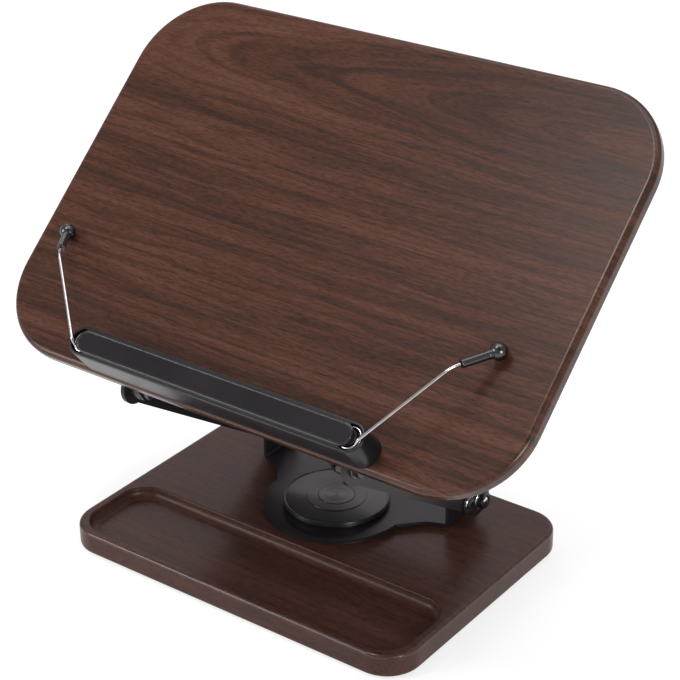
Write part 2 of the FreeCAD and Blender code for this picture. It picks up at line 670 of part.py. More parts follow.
def clip_points():
    """The right clip's wire in its own frame: pivot at 0, arm heading along +Y."""
    loop = CLIP_LOOP_R
    return [
        Vector(loop, 0, COIL_LEVEL),
        Vector(loop, CLIP_RAMP, RUN_LEVEL),
        Vector(loop, CLIP_RUN, RUN_LEVEL),
        Vector(loop, CLIP_RUN + CLIP_DROP_RUN, BALL_LEVEL),
    ]


def clip_tip():
    """The ball's centre and the direction in which the wire reaches it."""
    points = clip_points()
    return points[-1], (points[-1] - points[-2]).normalize()


def clip_wire():
    centre, heading = clip_tip()
    start = -math.radians(CLIP_LOOP_ANGLE)
    loop = [
        Vector(CLIP_LOOP_R * math.cos(turn), CLIP_LOOP_R * math.sin(turn), COIL_LEVEL)
        for turn in (start, start / 2, 0)
    ]
    points = clip_points()
    points[-1] = centre - heading * (BALL_R - BALL_BORE_DEPTH)
    lead_in = Vector(CLIP_LOOP_R, CLIP_RAMP_LEAD, COIL_LEVEL)
    arc = Part.Arc(*loop).toShape()
    bends = [CLIP_RAMP_LEAD / 4, CLIP_RAMP_BEND_R, CLIP_KNEE_BEND_R]
    return bent_rod([points[0], lead_in] + points[1:], bends, CLIP_WIRE_R, arc)


def clip_sleeve():
    centre, heading = clip_tip()
    end = centre - heading * BALL_R
    start = end - heading * SLEEVE_LENGTH
    sleeve = Part.makeCone(SLEEVE_R, SLEEVE_TIP_R, SLEEVE_LENGTH, start, heading)
    return sleeve.cut(Part.makeCylinder(CLIP_WIRE_R + SLEEVE_BORE_GAP, SLEEVE_LENGTH, start, heading))


def clip_ball():
    centre, heading = clip_tip()
    ball = Part.makeSphere(BALL_R, centre)
    mouth = centre - heading * BALL_R
    bore_r = CLIP_WIRE_R + SLEEVE_BORE_GAP
    return ball.cut(Part.makeCylinder(bore_r, EPS + BALL_BORE_DEPTH, mouth - heading * EPS, heading))


def place_clip(solid, side, heading):
    """Turns a clip piece to its heading at the right (+1) or left (-1) end of the ledge."""
    solid.rotate(Vector(), Vector(0, 0, 1), -heading)
    solid.translate(Vector(CLIP_PIVOT_X, LEDGE_MIDDLE, 0))
    if side < 0:
        solid = solid.mirror(Vector(), Vector(1, 0, 0))
    return on_board(solid)


def make_all():
    """Every piece of the stand, by name."""
    pieces = {
        "base_board": make_base_board(),
        "foot_pads": make_foot_pads(),
        "swivel_fixed_disc": make_fixed_disc(),
        "swivel_disc_screws": Part.makeCompound(fixed_screws()),
        "swivel_nylon_washer": make_nylon_washer(),
        "swivel_bolt": make_swivel_bolt(),
        "swivel_thrust_washer": make_thrust_washer(),
        "swivel_nut": make_swivel_nut(),
        "swivel_bracket": make_swivel_bracket(),
        "swivel_cover": make_swivel_cover(),
        "swivel_cover_cap": make_cover_cap(),
        "support_arm": make_support_arm(),
        "friction_plates": make_friction_plate(),
        "lock_screws": make_lock_screw(),
        "board_panel": make_board_panel(),
        "board_bracket": make_board_bracket(),
        "bracket_screws": make_mount_screws(),
        "page_ledge": make_page_ledge(),
        "ledge_pad": make_ledge_pad(),
        "ledge_screws": on_board(Part.makeCompound(ledge_screws())),
    }
    for name, pivot, stack in (("lower", LOWER_PIVOT, FRICTION_PLATE_T), ("upper", UPPER_PIVOT, 0.0)):
        pieces[name + "_hinge_bolts"] = make_hinge_bolt(pivot, stack)
        pieces[name + "_hinge_bushes"] = make_hinge_bush(pivot)
        pieces[name + "_hinge_washers"] = make_hinge_washer(pivot, stack)
        pieces[name + "_hinge_nuts"] = make_hinge_nut(pivot, stack)
    for name, side, heading in (("right", 1, CLIP_RIGHT_HEADING), ("left", -1, CLIP_LEFT_HEADING)):
        pieces["clip_" + name + "_wire"] = place_clip(clip_wire(), side, heading)
        pieces["clip_" + name + "_sleeve"] = place_clip(clip_sleeve(), side, heading)
        pieces["clip_" + name + "_ball"] = place_clip(clip_ball(), side, heading)
    return pieces


def depth_shift(pieces):
    """How far the pieces move along Y to stand with the middle of their depth on the origin."""
    box = Part.makeCompound([pieces["board_panel"], pieces["page_ledge"], pieces["ledge_pad"]])
    box = box.optimalBoundingBox(False, False)
    return -(box.YMin + box.YMax) / 2


os.makedirs("parts", exist_ok=True)
stand = make_all()
shift = depth_shift(stand)
for node, shape in stand.items():
    shape.translate(Vector(0, shift, 0))
    shape.exportStep("parts/" + node + ".step")
    if not shape.isValid():
        print("not valid:", node)
print("pieces", len(stand), "shift", round(shift, 4))
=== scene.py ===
from math import atan2, cos, pi, radians, sin, sqrt

import bmesh
import bpy
from mathutils import Matrix, Vector


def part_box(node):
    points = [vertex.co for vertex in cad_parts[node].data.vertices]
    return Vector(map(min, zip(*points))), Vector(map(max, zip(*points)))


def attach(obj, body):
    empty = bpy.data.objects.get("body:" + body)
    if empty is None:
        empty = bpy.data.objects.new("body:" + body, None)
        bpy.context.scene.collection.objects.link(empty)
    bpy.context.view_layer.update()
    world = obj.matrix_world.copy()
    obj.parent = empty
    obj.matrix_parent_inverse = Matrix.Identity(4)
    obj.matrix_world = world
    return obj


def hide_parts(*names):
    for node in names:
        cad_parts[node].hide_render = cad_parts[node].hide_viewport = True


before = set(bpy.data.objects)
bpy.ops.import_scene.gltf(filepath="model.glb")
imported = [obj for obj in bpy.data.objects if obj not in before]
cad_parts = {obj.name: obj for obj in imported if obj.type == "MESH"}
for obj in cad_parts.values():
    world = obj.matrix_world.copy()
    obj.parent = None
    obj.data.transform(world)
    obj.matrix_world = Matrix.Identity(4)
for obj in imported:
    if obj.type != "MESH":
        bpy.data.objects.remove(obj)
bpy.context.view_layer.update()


# ---------------------------------------------------------------- Camera
# A long portrait lens, in front of the stand, to its right and above it.
# It is rolled by a fraction of a degree, as a camera on a tripod is.
def new_object(name, data):
    """An object that holds some data, in the scene."""
    made = bpy.data.objects.new(name, data)
    bpy.context.scene.collection.objects.link(made)
    return made


eye = Vector((0.59155, -0.76336, 0.62806))
aimed_at = Vector((0.01977, -0.00379, 0.13926))
camera_roll = radians(-0.77)
forward = (aimed_at - eye).normalized()
level = forward.cross(Vector((0, 0, 1))).normalized()
upright = level.cross(forward)
right = level * cos(camera_roll) + upright * sin(camera_roll)
up = right.cross(forward)
camera_data = bpy.data.cameras.new("portrait_lens")
camera_data.lens = 105.12
camera_data.sensor_width = 36.0
camera_data.clip_start = 0.02
camera_data.shift_x = -0.0004
camera_data.shift_y = -0.0031
camera = new_object("camera", camera_data)
turn = Matrix((right, up, -forward)).transposed().to_4x4()
camera.matrix_world = Matrix.Translation(eye) @ turn
bpy.context.scene.camera = camera
bpy.context.scene.view_settings.view_transform = "Standard"


# ---------------------------------------------------------------- Floor and light
# A white sheet that still takes the stand's shadow, in a pale grey room. A wide soft box hangs
# overhead, a small one lays the sheen on the board, two stand low in front, and a pale panel
# stands behind. A black card, which only reflections show, deepens the blacks.
def add_node(tree, kind, sockets=None, **settings):
    """A new node with its settings, and each named socket set to a value or linked."""
    made = tree.nodes.new(kind)
    for name, value in settings.items():
        setattr(made, name, value)
    for name, value in (sockets or {}).items():
        if isinstance(value, bpy.types.NodeSocket):
            tree.links.new(value, made.inputs[name])
        else:
            made.inputs[name].default_value = value
    return made


def one_face(name, corners, material):
    """A single flat face in one material, which only sets the stage."""
    mesh = bpy.data.meshes.new(name)
    mesh.from_pydata(corners, [], [(0, 1, 2, 3)])
    mesh.materials.append(material)
    return new_object(name, mesh)


paper = bpy.data.materials.new("white_paper")
paper.use_nodes = True
paper_tree = paper.node_tree
paper_tree.nodes.clear()
seen = add_node(paper_tree, "ShaderNodeLightPath")
matt = add_node(paper_tree, "ShaderNodeBsdfDiffuse", {"Color": (0.82, 0.82, 0.82, 1)})
glow = add_node(paper_tree, "ShaderNodeEmission", {"Color": (1, 1, 1, 1), "Strength": 0.71})
half_matt = add_node(paper_tree, "ShaderNodeBsdfDiffuse", {"Color": (0.42, 0.42, 0.42, 1)})
lifted = add_node(paper_tree, "ShaderNodeAddShader", {0: glow.outputs[0], 1: half_matt.outputs[0]})
straight = add_node(paper_tree, "ShaderNodeMath", {0: seen.outputs["Is Camera Ray"],
                    1: seen.outputs["Is Transmission Ray"]}, operation="MAXIMUM")
looked_at = add_node(paper_tree, "ShaderNodeMath", {0: straight.outputs[0],
                     1: seen.outputs["Is Glossy Ray"]}, operation="MAXIMUM")
sheet = add_node(paper_tree, "ShaderNodeMixShader", {0: looked_at.outputs[0], 1: matt.outputs[0],
                 2: lifted.outputs[0]})
add_node(paper_tree, "ShaderNodeOutputMaterial", {"Surface": sheet.outputs[0]})
floor_half = 4.0
floor = one_face("floor", [(x * floor_half, y * floor_half, 0)
                           for x, y in ((-1, -1), (1, -1), (1, 1), (-1, 1))], paper)

world = bpy.data.worlds.new("white_room")
bpy.context.scene.world = world
world.use_nodes = True
room = world.node_tree
room.nodes.clear()
room_light = add_node(room, "ShaderNodeBackground", {"Color": (1.0, 0.955, 0.98, 1), "Strength": 0.45})
add_node(room, "ShaderNodeOutputWorld", {"Surface": room_light.outputs[0]})


def soft_box(name, place, aim, width, height, watts, colour=(1, 1, 1)):
    """A rectangular lamp that faces a point."""
    data = bpy.data.lights.new(name, "AREA")
    data.shape, data.size, data.size_y = "RECTANGLE", width, height
    data.energy, data.color = watts, colour
    facing = (Vector(aim) - Vector(place)).to_track_quat("-Z", "Y").to_matrix().to_4x4()
    new_object(name, data).matrix_world = Matrix.Translation(place) @ facing


stand_middle = (0, 0, 0.1)
soft_box("overhead_box", (-0.1, 0.25, 1.7), stand_middle, width=1.4, height=0.9, watts=8.5)
soft_box("sheen_box", (-0.37, -0.50, 1.6), (0.1, 0, 0.2), width=0.36, height=0.32, watts=4.6)
soft_box("front_left_box", (-1.1, -1.35, 0.8), stand_middle, width=0.8, height=0.7, watts=11.5)
soft_box("front_right_box", (1.6, -0.75, 0.65), stand_middle, width=0.5, height=0.5, watts=13.0)
soft_box("back_panel", (-1.1, 1.45, 1.0), (0, 0, 0), width=1.5, height=1.0, watts=3.1,
         colour=(1.0, 0.88, 0.91))

felt = bpy.data.materials.new("black_felt")
felt.use_nodes = True
felt.node_tree.nodes["Principled BSDF"].inputs["Base Color"].default_value = (0.004, 0.004, 0.004, 1)
card = one_face("black_card", [(0.2, -0.75, 0.95), (0.2, -0.25, 1.2), (0.8, -0.25, 1.05), (0.8, -0.75, 0.8)],
                felt)
card.visible_camera = card.visible_diffuse = card.visible_shadow = False


# ---------------------------------------------------------------- Base board
# A slab of board wrapped in walnut-grain foil, with every edge rounded over and a pen tray
# routed into its front. The foil runs over the rounds and down into the tray.
def rounded_ring(half_x, half_y, corner, height, middle_x=0.0, middle_y=0.0, steps=10):
    """One level of a shape with rounded corners, anticlockwise from above."""
    points = []
    for quarter, (side_x, side_y) in enumerate(((1, 1), (-1, 1), (-1, -1), (1, -1))):
        for step in range(steps + 1):
            angle = pi / 2 * (quarter + step / steps)
            points.append((middle_x + side_x * (half_x - corner) + corner * cos(angle),
                           middle_y + side_y * (half_y - corner) + corner * sin(angle), height))
    return points


def quarter_round(radius, steps, start_height, rising=1, opening=False):
    """(inset, height) pairs over a rounded edge: from a side to a level face, or back."""
    pairs = []
    for step in range(steps + 1):
        angle = pi / 2 * step / steps
        inset, climb = radius * (1 - cos(angle)), radius * sin(angle)
        if opening:
            inset, climb = radius * (1 - sin(angle)), radius * (1 - cos(angle))
        pairs.append((inset, start_height + rising * climb))
    return pairs


def bridge(shell, levels):
    """Faces between neighbouring levels of equal point counts; a repeated point makes a tip."""
    for lower, upper in zip(levels, levels[1:]):
        for i, here in enumerate(lower):
            j = (i + 1) % len(lower)
            shell.faces.new(dict.fromkeys((here, lower[j], upper[j], upper[i])))


def ring_skin(name, rings, place):
    """A closed mesh through rings with equal point counts, the first and last filled in."""
    shell = bmesh.new()
    levels = [[shell.verts.new(point) for point in ring] for ring in rings]
    shell.faces.new(reversed(levels[0]))
    shell.faces.new(levels[-1])
    bridge(shell, levels)
    shell.transform(place)
    return mesh_piece(name, shell)


# Faces that meet at more than this stay apart in the shading.
sharp_angle = radians(32)


def mesh_piece(name, shell):
    """Turns a bmesh into a smooth-shaded object whose flat faces stay flat."""
    mesh = bpy.data.meshes.new(name)
    bmesh.ops.remove_doubles(shell, verts=shell.verts, dist=1e-7)
    bmesh.ops.recalc_face_normals(shell, faces=shell.faces)
    shell.to_mesh(mesh)
    shell.free()
    mesh.shade_smooth()
    mesh.set_sharp_from_angle(angle=sharp_angle)
    piece = new_object(name, mesh)
    weighted = piece.modifiers.new("flat_faces_first", "WEIGHTED_NORMAL")
    weighted.keep_sharp = True
    weighted.weight = 100
    return piece


def new_finish(name, **sockets):
    """A material with a Principled shader, and its Object coordinates."""
    material = bpy.data.materials.new(name)
    material.use_nodes = True
    tree = material.node_tree
    shader = tree.nodes["Principled BSDF"]
    for socket, value in sockets.items():
        shader.inputs[socket.replace("_", " ")].default_value = value
    coords = add_node(tree, "ShaderNodeTexCoord")
    return material, tree, shader, coords.outputs["Object"]


def colour_ramp(tree, value, *stops):
    """A ramp through (position, colour) stops; a colour may be a single grey."""
    ramp = add_node(tree, "ShaderNodeValToRGB", {"Fac": value})
    elements = ramp.color_ramp.elements
    while len(elements) < len(stops):
        elements.new(0.5)
    for element, (position, colour) in zip(elements, stops):
        element.position = position
        element.color = (*colour, 1) if isinstance(colour, tuple) else (colour, colour, colour, 1)
    return ramp.outputs["Color"]


def uneven_gloss(tree, shader, value, low, high, least, most):
    """Roughness from least to most, as a value goes from low to high."""
    gloss = add_node(tree, "ShaderNodeMapRange", {"Value": value, "From Min": low, "From Max": high,
                     "To Min": least, "To Max": most})
    tree.links.new(gloss.outputs[0], shader.inputs["Roughness"])


def dented(tree, shader, height, strength, depth):
    """Fine relief from a height that goes from 0 to 1."""
    dents = add_node(tree, "ShaderNodeBump", {"Height": height, "Strength": strength, "Distance": depth})
    tree.links.new(dents.outputs[0], shader.inputs["Normal"])


def walnut(name, shine, roughness, evened, origin, lean, heart_up, heart_depth, heart_slope, wander):
    """Walnut foil with its growth rings round a heart line that lies below the face.
    Where the heart line rises towards the face, the rings cut the face as long arches."""
    material, tree, shader, place = new_finish(name, Specular_IOR_Level=shine)

    def maths(operation, *values, kind="ShaderNodeMath"):
        """The outputs of one maths node on some values."""
        return add_node(tree, kind, dict(enumerate(values)), operation=operation).outputs

    def vector_maths(operation, *values):
        """The result of one maths node on vectors."""
        return maths(operation, *values, kind="ShaderNodeVectorMath")[0]

    def scaled(vector, scale):
        """A place with each of its axes scaled."""
        return add_node(tree, "ShaderNodeMapping", {"Vector": vector, "Scale": scale}).outputs[0]

    def noise(vector, detail, rough=0.6, **settings):
        """The outputs of cloudy noise over a place."""
        return add_node(tree, "ShaderNodeTexNoise", {"Vector": vector, "Scale": 1.0, "Detail": detail,
                        "Roughness": rough}, **settings).outputs

    on_face = add_node(tree, "ShaderNodeMapping", {"Vector": place, "Location": origin,
                       "Rotation": (lean, 0, 0)}, vector_type="TEXTURE").outputs[0]
    drift = noise(scaled(on_face, (4, 14, 14)), detail=2.0, rough=0.5)["Color"]
    centred = vector_maths("SUBTRACT", drift, (0.5, 0.5, 0.5))
    moved = vector_maths("ADD", on_face, vector_maths("MULTIPLY", centred, (0, wander, wander)))
    parts = add_node(tree, "ShaderNodeSeparateXYZ", {"Vector": moved}).outputs
    across = maths("SUBTRACT", parts["Y"], heart_up)[0]
    heart_below = maths("MULTIPLY_ADD", parts["X"], heart_slope, heart_depth)[0]
    down = maths("SUBTRACT", heart_below, parts["Z"])[0]
    reach = add_node(tree, "ShaderNodeCombineXYZ", {"Y": across, "Z": down}).outputs[0]
    ring = maths("LENGTH", reach, kind="ShaderNodeVectorMath")["Value"]
    unrolled = add_node(tree, "ShaderNodeCombineXYZ", {"X": parts["X"], "Y": ring}).outputs[0]

    def grain(along, through, detail):
        """Noise drawn out along the rings, as they lie when unrolled."""
        return noise(scaled(unrolled, (along, through, 1)), detail, noise_dimensions="2D")["Fac"]

    streaks = grain(along=1.6, through=75, detail=4.0)
    fibres = grain(along=26, through=620, detail=1.0)
    figure = add_node(tree, "ShaderNodeMix", {0: 0.3, 2: streaks, 3: fibres}).outputs[0]
    years = add_node(tree, "ShaderNodeTexWave", {"Vector": scaled(unrolled, (0.06, 1, 1)), "Scale": 44.0,
                     "Distortion": 9.0, "Detail": 2.0, "Detail Scale": 2.0, "Detail Roughness": 0.6},
                     bands_direction="Y", wave_profile="SAW").outputs["Fac"]
    late_wood = colour_ramp(tree, years, (0.0, 0.0), (0.6, 0.02), (0.93, 0.16), (0.99, 0.05))
    wood = colour_ramp(tree, maths("SUBTRACT", figure, late_wood)[0],
                       (0.30, (0.042, 0.0198, 0.0132)), (0.42, (0.060, 0.0252, 0.0160)),
                       (0.52, (0.080, 0.0318, 0.0198)), (0.66, (0.104, 0.0430, 0.0278)))
    pores = noise(scaled(moved, (210, 1700, 1700)), detail=1.0)["Fac"]
    open_pore = colour_ramp(tree, pores, (0.36, 0.66), (0.55, 1.05))
    calmed = add_node(tree, "ShaderNodeMix", {0: evened, 6: wood, 7: (0.070, 0.0330, 0.0285, 1)},
                      data_type="RGBA").outputs[2]
    shaded = add_node(tree, "ShaderNodeMix", {0: 1.0, 6: calmed, 7: open_pore},
                      data_type="RGBA", blend_type="MULTIPLY")
    tree.links.new(shaded.outputs[2], shader.inputs["Base Color"])
    uneven_gloss(tree, shader, figure, 0.35, 0.65, roughness, roughness + 0.08)
    dented(tree, shader, pores, strength=0.25, depth=0.00004)
    return material


def wrapped_in_foil(piece, is_pressed, name, shine, pressed_shine, **figure):
    """Plain foil, with the same figure pressed glossy on the faces that is_pressed picks."""
    piece.data.materials.append(walnut(name, shine, roughness=0.28, **figure))
    piece.data.materials.append(walnut(name + "_pressed", pressed_shine, roughness=0.2, **figure))
    for face in piece.data.polygons:
        face.material_index = int(is_pressed(face))


base_low, base_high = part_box("base_board")
base_y = (base_low.y + base_high.y) / 2
base_half_x, base_half_y, base_corner = 0.1165, 0.0845, 0.0205
base_bottom, base_top = 0.0015, 0.015
under_round, over_round = 0.0015, 0.002
tray_half_x, tray_half_y, tray_corner, tray_depth = 0.1105, 0.02715, 0.016, 0.006
tray_margin, tray_lip, tray_floor_round = 0.0052, 0.0012, 0.0045
tray_y = base_y - base_half_y + tray_margin + tray_half_y
swivel_y = base_y + 0.0207
bolt_well_r, bolt_well_top = 0.0083, 0.0065


def base_ring(inset, height):
    """A level of the slab's outside."""
    return rounded_ring(base_half_x - inset, base_half_y - inset, base_corner - inset, height, 0, base_y)


def tray_ring(inset, height):
    """A level of the tray's wall."""
    return rounded_ring(tray_half_x - inset, tray_half_y - inset, tray_corner - inset, height, 0, tray_y)


base_rings = [rounded_ring(bolt_well_r, bolt_well_r, bolt_well_r, z, 0, swivel_y)
              for z in (bolt_well_top, base_bottom)]
base_rings += [base_ring(i, z) for i, z in quarter_round(under_round, 5, base_bottom, opening=True)]
base_rings += [base_ring(i, z) for i, z in quarter_round(over_round, 6, base_top - over_round)]
base_rings += [tray_ring(-i, z) for i, z in quarter_round(tray_lip, 5, base_top, -1, opening=True)]
base_rings += [tray_ring(i, z) for i, z in
               quarter_round(tray_floor_round, 8, base_top - tray_depth + tray_floor_round, -1)]
base_board = ring_skin("walnut_base", base_rings, Matrix())


def on_base_round(face):
    """Whether a face lies on the rounds along the slab's outside."""
    past_lip, steepest, flattest = 0.002, 0.05, 0.999
    in_tray = (abs(face.center.x) < tray_half_x + past_lip
               and abs(face.center.y - tray_y) < tray_half_y + past_lip)
    return steepest < abs(face.normal.z) < flattest and not in_tray


wrapped_in_foil(base_board, on_base_round, "walnut_foil_base", shine=0.19, pressed_shine=0.5, evened=0.45,
                origin=(0, base_y, base_top), lean=0, heart_up=-0.21, heart_depth=0.060,
                heart_slope=0.05, wander=0.006)
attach(base_board, "base")
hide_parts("base_board")


# ---------------------------------------------------------------- Foot pads
# Four round self-adhesive rubber pads near the corners of the underside, punched from sheet,
# with a rounded lower edge.
def turned(profile, sides=48):
    """A bmesh turned round Z from (radius, height) pairs; a first or last radius of 0 closes it."""
    shell = bmesh.new()
    levels = []
    for radius, height in profile:
        if radius == 0:
            levels.append([shell.verts.new((0, 0, height))] * sides)
        else:
            levels.append(shaped_ring(shell, sides, height, round_at(radius)))
    bridge(shell, levels)
    return shell


def shaped_ring(shell, sides, height, radius_at):
    """A level of points round Z, whose radius is a function of the angle."""
    angles = [2 * pi * k / sides for k in range(sides)]
    return [shell.verts.new((radius_at(angle) * cos(angle), radius_at(angle) * sin(angle), height))
            for angle in angles]


def round_at(radius):
    """The same radius at every angle."""
    return lambda angle: radius


def new_tree(name, **inputs):
    """An empty geometry tree from named inputs to one geometry, and its inputs' sockets."""
    tree = bpy.data.node_groups.new(name, "GeometryNodeTree")
    tree.is_modifier = True
    for socket, kind in inputs.items():
        tree.interface.new_socket(socket.replace("_", " "), in_out="INPUT", socket_type="NodeSocket" + kind)
    tree.interface.new_socket("Geometry", in_out="OUTPUT", socket_type="NodeSocketGeometry")
    return tree, tree.nodes.new("NodeGroupInput").outputs


def finish_tree(tree, geometry, finish):
    """Makes a tree's instances real, gives them the finish and puts them out."""
    whole = add_node(tree, "GeometryNodeRealizeInstances", {"Geometry": geometry})
    dressed = add_node(tree, "GeometryNodeSetMaterial", {"Geometry": whole.outputs[0], "Material": finish})
    add_node(tree, "NodeGroupOutput", {"Geometry": dressed.outputs[0]})


def set_out_tree():
    """Puts one made part on each point, its Z along the point's own axis, at a chance turn."""
    tree, given = new_tree("set_out_on_points", Points="Geometry", Part="Object", Finish="Material",
                           Most_Turn="Float", Seed="Int")
    axis = add_node(tree, "GeometryNodeInputNamedAttribute", {"Name": "axis"}, data_type="FLOAT_VECTOR")
    aligned = add_node(tree, "FunctionNodeAlignRotationToVector", {"Vector": axis.outputs[0]}, axis="Z")
    chance = add_node(tree, "FunctionNodeRandomValue", {"Seed": given["Seed"]}, data_type="FLOAT")
    tree.links.new(given["Most Turn"], chance.inputs[3])
    spin = add_node(tree, "FunctionNodeAxisAngleToRotation", {"Axis": (0, 0, 1), "Angle": chance.outputs[1]})
    turned_to = add_node(tree, "FunctionNodeRotateRotation", {"Rotation": aligned.outputs[0],
                         "Rotate By": spin.outputs[0]}, rotation_space="LOCAL")
    part = add_node(tree, "GeometryNodeObjectInfo", {"Object": given["Part"]})
    placed = add_node(tree, "GeometryNodeInstanceOnPoints", {"Points": given["Points"],
                      "Instance": part.outputs["Geometry"], "Rotation": turned_to.outputs[0]})
    finish_tree(tree, placed.outputs[0], given["Finish"])
    return tree


def baked(carrier, tree, values, name):
    """Runs a tree on a carrier with named inputs and returns its result as a plain mesh object."""
    modifier = carrier.modifiers.new("tree", "NODES")
    modifier.node_group = tree
    for item in tree.interface.items_tree:
        if item.in_out == "INPUT" and item.name in values:
            modifier[item.identifier] = values[item.name]
    bpy.context.view_layer.update()
    mesh = bpy.data.meshes.new_from_object(carrier.evaluated_get(bpy.context.evaluated_depsgraph_get()))
    mesh.name = name
    carrier.modifiers.remove(modifier)
    bpy.data.objects.remove(carrier)
    return new_object(name, mesh)


set_out = set_out_tree()


def set_out_parts(name, shell, places, finish, most_turn=2 * pi):
    """One part on each (point, axis) pair, as one plain mesh."""
    part = mesh_piece(name + "_part", shell)
    spots, axes = zip(*places)
    points = bpy.data.meshes.new(name + "_points")
    points.from_pydata(spots, [], [])
    directions = points.attributes.new("axis", "FLOAT_VECTOR", "POINT")
    for direction, axis in zip(directions.data, axes):
        direction.vector = axis
    carrier = new_object(name + "_points", points)
    piece = baked(carrier, set_out, {"Part": part, "Finish": finish, "Most Turn": most_turn, "Seed": 3}, name)
    bpy.data.objects.remove(part)
    return piece


def speckled(name, colour, roughness, grain, depth, **sockets):
    """A plain colour with fine grain: powder coat, moulded plastic or rubber."""
    material, tree, shader, place = new_finish(name, **sockets)
    bits = add_node(tree, "ShaderNodeTexNoise", {"Vector": place, "Scale": grain, "Detail": 2.0})
    cloud = add_node(tree, "ShaderNodeTexNoise", {"Vector": place, "Scale": grain / 40, "Detail": 3.0})
    light = tuple(min(1.0, c * 1.25) for c in colour)
    dark = tuple(c * 0.8 for c in colour)
    tone = colour_ramp(tree, cloud.outputs["Fac"], (0.3, dark), (0.7, light))
    tree.links.new(tone, shader.inputs["Base Color"])
    uneven_gloss(tree, shader, cloud.outputs["Fac"], 0.3, 0.7, roughness * 0.92, roughness * 1.08)
    dented(tree, shader, bits.outputs["Fac"], strength=0.35, depth=depth)
    return material


foot_r, foot_t, foot_inset = 0.009, 0.0015, 0.019
foot_profile = [(0, 0), (foot_r - 0.0007, 0), (foot_r - 0.0002, 0.0002), (foot_r, 0.0006),
                (foot_r, foot_t), (0, foot_t)]
foot_places = [((x * (base_half_x - foot_inset), base_y + y * (base_half_y - foot_inset), 0), (0, 0, 1))
               for x in (-1, 1) for y in (-1, 1)]
foot_rubber = speckled("foot_rubber", (0.022, 0.021, 0.022), roughness=0.75, grain=900, depth=0.00004)
feet = set_out_parts("rubber_feet", turned(foot_profile, 40), foot_places, foot_rubber)
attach(feet, "base")
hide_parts("foot_pads")


# ---------------------------------------------------------------- Turntable bearing
# A zinc-plated steel disc is screwed to the base; the turning plate slides on a nylon washer
# above it, held by a bolt that comes up through the base into a flat nut.
def zinc(name, colour, roughness, brush):
    """Plated steel: bare metal with a faint uneven sheen."""
    material, tree, shader, place = new_finish(name, Metallic=1.0)
    patches = add_node(tree, "ShaderNodeTexNoise", {"Vector": place, "Scale": brush, "Detail": 4.0})
    tone = colour_ramp(tree, patches.outputs["Fac"], (0.3, tuple(c * 0.85 for c in colour)), (0.7, colour))
    tree.links.new(tone, shader.inputs["Base Color"])
    uneven_gloss(tree, shader, patches.outputs["Fac"], 0.3, 0.7, roughness * 0.8, roughness * 1.2)
    return material


def dress(node, finish):
    """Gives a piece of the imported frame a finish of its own."""
    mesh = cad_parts[node].data
    mesh.materials.clear()
    mesh.materials.append(finish)


zinc_plate = zinc("zinc_plate", (0.60, 0.61, 0.62), roughness=0.28, brush=400)
for plated in ("swivel_fixed_disc", "swivel_thrust_washer", "swivel_disc_screws", "swivel_nut",
               "swivel_bolt"):
    dress(plated, zinc_plate)
nylon = speckled("milky_nylon", (0.62, 0.60, 0.55), roughness=0.45, grain=700, depth=0.00002)
dress("swivel_nylon_washer", nylon)


# ---------------------------------------------------------------- Turning plate
# A steel pressing with a round lobe in front, two wings and two ears folded up for the hinge.
# It is powder-coated satin black; its eased edges are glossier and painted a little lighter, a painted
# highlight.
def eased_copy(node, name, radius, finish, highlight_edge_finish):
    """A copy of a frame piece with merged triangles, and rounded edges in a finish of their own, the painted
    edge highlight.
    """
    shell = bmesh.new()
    shell.from_mesh(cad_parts[node].data)
    bmesh.ops.remove_doubles(shell, verts=shell.verts, dist=2e-6)
    bmesh.ops.dissolve_limit(shell, angle_limit=radians(0.5), verts=shell.verts, edges=shell.edges)
    mesh = bpy.data.meshes.new(name)
    shell.to_mesh(mesh)
    shell.free()
    mesh.materials.clear()
    mesh.materials.append(finish)
    mesh.materials.append(highlight_edge_finish)
    mesh.shade_smooth()
    mesh.set_sharp_from_angle(angle=sharp_angle)
    piece = new_object(name, mesh)
    ease = piece.modifiers.new("eased_edges", "BEVEL")
    ease.width, ease.segments = radius, 3
    ease.limit_method, ease.angle_limit = "ANGLE", sharp_angle
    ease.harden_normals = True
    ease.use_clamp_overlap = True
    ease.material = 1
    return piece


satin_black = speckled("satin_black_coat", (0.0120, 0.0098, 0.0122), roughness=0.36, grain=1400,
                       depth=0.00003, Specular_IOR_Level=0.34)
# The edge finish: glossier than the coat and painted a little lighter, so that a thin light line runs along
# every eased edge: a painted highlight.
edge_painted_highlight = speckled("glossy_edge_painted_highlight", (0.0140, 0.0125, 0.0140), roughness=0.2, grain=1400,
                     depth=0.00001, Specular_IOR_Level=1.0)
turning_plate = eased_copy("swivel_bracket", "turning_plate", 0.0004, satin_black, edge_painted_highlight)
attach(turning_plate, "turntable")
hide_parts("swivel_bracket")


